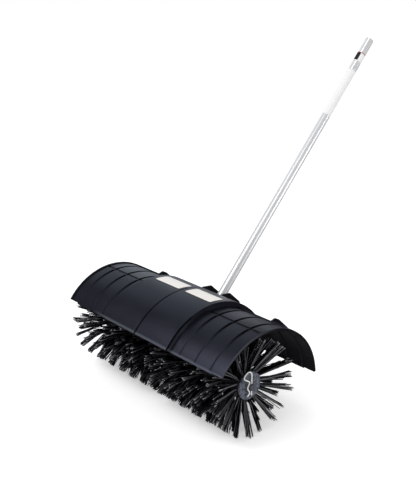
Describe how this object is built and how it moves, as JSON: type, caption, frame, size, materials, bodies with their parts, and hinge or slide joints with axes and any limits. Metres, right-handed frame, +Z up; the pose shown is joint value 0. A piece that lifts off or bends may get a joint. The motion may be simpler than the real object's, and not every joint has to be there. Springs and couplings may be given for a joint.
{
  "type": "powered sweeping brush attachment",
  "caption": "Powered sweeping brush on a boom tube: a worm gearbox under a ribbed two-piece hood turns a bristle drum on each side.",
  "frame": {"origin": "centre of the boom tube's free end, which the power head's clamp holds", "axes": "+X along the brush axle, +Y to the rear where the tube leans, +Z up"},
  "size_m": [0.62, 0.8691, 0.8744],
  "materials": {
    "tube_aluminium": "satin anodised",
    "cast_alloy": "as cast",
    "machined_steel": "machined",
    "screw_steel": "dark zinc",
    "clip_wire": "bright zinc",
    "gear_bronze": "machined bronze",
    "hood_plastic": "satin moulded",
    "bristle_nylon": "satin strands",
    "drum_plastic": "moulded",
    "disc_plastic": "moulded blue grey",
    "seal_rubber": "moulded",
    "bush_nylon": "natural nylon"
  },
  "bodies": {
    "frame": {"boom_tube": "tube_aluminium", "shaft_bushes": "bush_nylon", "gear_housing_left": "cast_alloy", "gear_housing_right": "cast_alloy", "housing_gasket": "seal_rubber", "housing_screws": "screw_steel", "housing_dowels": "machined_steel", "clamp_screws": "screw_steel", "grease_plug": "screw_steel", "axle_bearing_outer_left": "machined_steel", "axle_bearing_outer_right": "machined_steel", "axle_seal_left": "seal_rubber", "axle_seal_right": "seal_rubber", "worm_bearing_outer_lower": "machined_steel", "worm_bearing_outer_upper": "machined_steel", "hood_left": "hood_plastic", "hood_right": "hood_plastic", "hood_screws": "screw_steel", "hood_washers": "screw_steel"},
    "brush_rotor": {"axle": "machined_steel", "axle_circlips": "machined_steel", "worm_wheel": "gear_bronze", "wheel_key": "machined_steel", "drive_pins": "machined_steel", "axle_bearing_inner_left": "machined_steel", "axle_bearing_inner_right": "machined_steel", "drum_core_left": "drum_plastic", "drum_core_right": "drum_plastic", "end_disc_left": "disc_plastic", "end_disc_right": "disc_plastic", "bristles_left": "bristle_nylon", "bristles_right": "bristle_nylon", "hairpin_clip_left": "clip_wire", "hairpin_clip_right": "clip_wire"},
    "drive_line": {"drive_shaft": "machined_steel", "drive_coupling": "machined_steel", "worm_shaft": "machined_steel", "worm_bearing_inner_lower": "machined_steel", "worm_bearing_inner_upper": "machined_steel"},
    "axle_ball_sets": {"axle_bearing_balls_left": "machined_steel", "axle_bearing_balls_right": "machined_steel"},
    "worm_ball_sets": {"worm_bearing_balls_lower": "machined_steel", "worm_bearing_balls_upper": "machined_steel"}
  },
  "joints": [
    {"name": "brush_spin", "type": "hinge", "parent": "frame", "child": "brush_rotor", "pos_m": [0, -0.72851, -0.7425], "axis": [1, 0, 0], "continuous": true},
    {"name": "drive_spin", "type": "hinge", "parent": "frame", "child": "drive_line", "pos_m": [0, 0, 0], "axis": [0, 0.6652, 0.7466], "continuous": true},
    {"name": "axle_balls_roll", "type": "hinge", "parent": "frame", "child": "axle_ball_sets", "pos_m": [0, -0.72851, -0.7425], "axis": [1, 0, 0], "continuous": true},
    {"name": "worm_balls_roll", "type": "hinge", "parent": "frame", "child": "worm_ball_sets", "pos_m": [0, 0, 0], "axis": [0, 0.6652, 0.7466], "continuous": true}
  ],
  "couplings": [
    {"joint": "drive_spin", "follows": "brush_spin", "ratio": -30},
    {"joint": "axle_balls_roll", "follows": "brush_spin", "ratio": 0.3817},
    {"joint": "worm_balls_roll", "follows": "brush_spin", "ratio": -11.088}
  ]
}
